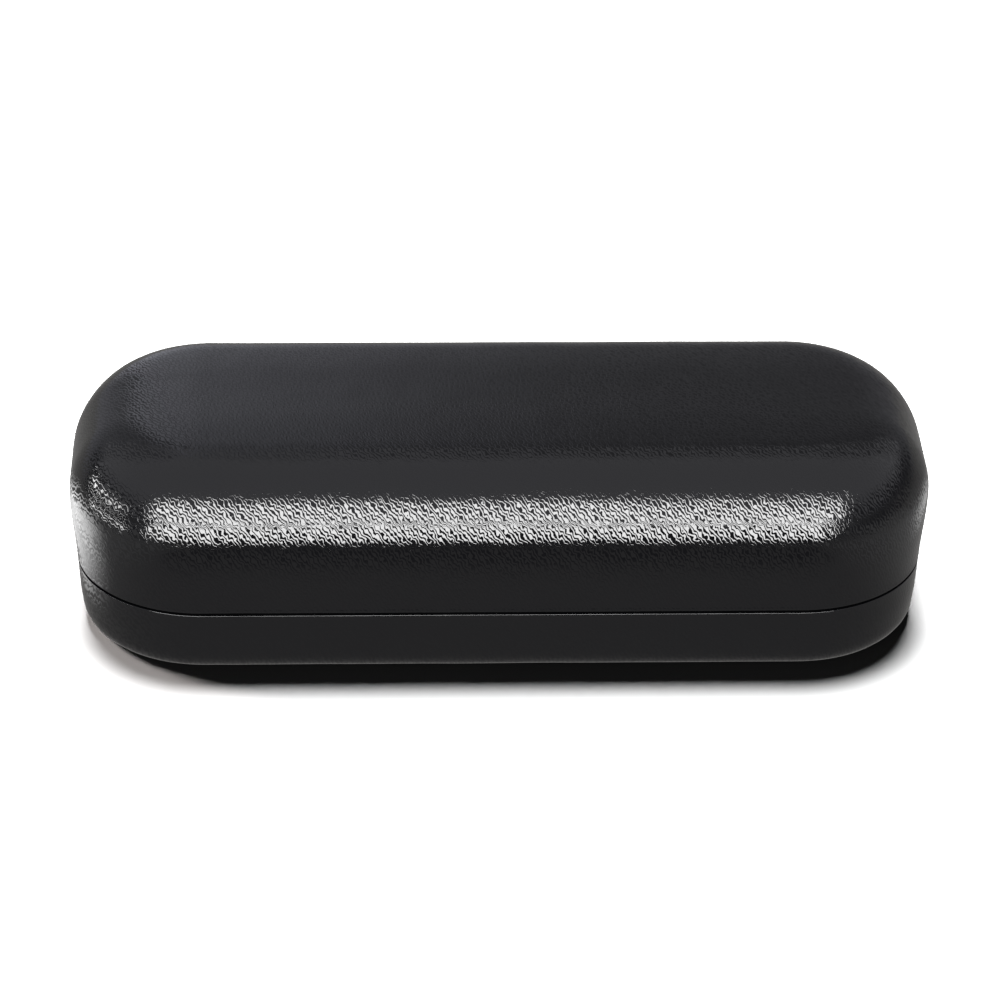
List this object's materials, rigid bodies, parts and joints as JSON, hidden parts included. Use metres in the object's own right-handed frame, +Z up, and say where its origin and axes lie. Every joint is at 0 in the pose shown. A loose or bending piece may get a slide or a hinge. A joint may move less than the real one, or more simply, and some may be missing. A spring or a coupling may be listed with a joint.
{
  "type": "eyeglasses case",
  "caption": "Long rounded-rectangular clamshell hard case covered in black grained leatherette: a deep domed lid on a shallow base, closed by a sprung rear hinge.",
  "frame": {"origin": "middle of the flat underside, on the resting plane", "axes": "+X along the case's length, +Y from the front to the hinge side, +Z up from the base to the lid"},
  "size_m": [0.16, 0.0659, 0.0427],
  "materials": {
    "black_leatherette": "fine grained polyurethane leatherette, low sheen, black",
    "backing_foam": "thin closed-cell foam, matte",
    "pressed_steel": "bare cold-rolled steel sheet",
    "cushion_foam": "open-cell foam, matte",
    "tray_plastic": "vacuum-formed sheet, matte",
    "velvet": "short-pile velvet, soft rim sheen",
    "hinge_steel": "black nickel plating, satin",
    "pin_steel": "bright steel, satin",
    "spring_wire": "spring wire, satin"
  },
  "bodies": {
    "base": {"base_cover": "black_leatherette", "base_padding": "backing_foam", "base_shell": "pressed_steel", "base_foam": "cushion_foam", "base_tray": "tray_plastic", "base_lining": "velvet", "hinge_leaf_lower": "hinge_steel", "hinge_rivets_lower": "pin_steel", "hinge_pin": "pin_steel", "hinge_spring_left": "spring_wire", "hinge_spring_right": "spring_wire", "hinge_gusset": "velvet"},
    "lid": {"lid_cover": "black_leatherette", "lid_padding": "backing_foam", "lid_shell": "pressed_steel", "lid_crown_pad": "cushion_foam", "lid_tray": "tray_plastic", "lid_lining": "velvet", "hinge_leaf_upper": "hinge_steel", "hinge_rivets_upper": "pin_steel"}
  },
  "joints": [
    {"name": "lid_hinge", "type": "hinge", "parent": "base", "child": "lid", "pos_m": [0, 0.0318, 0.01305], "axis": [-1, 0, 0], "range_deg": [0, 105], "stiffness_Nm_per_rad": 0.02, "springref_deg": -34.38, "deforming": ["hinge_spring_left", "hinge_spring_right", "hinge_gusset"]}
  ]
}
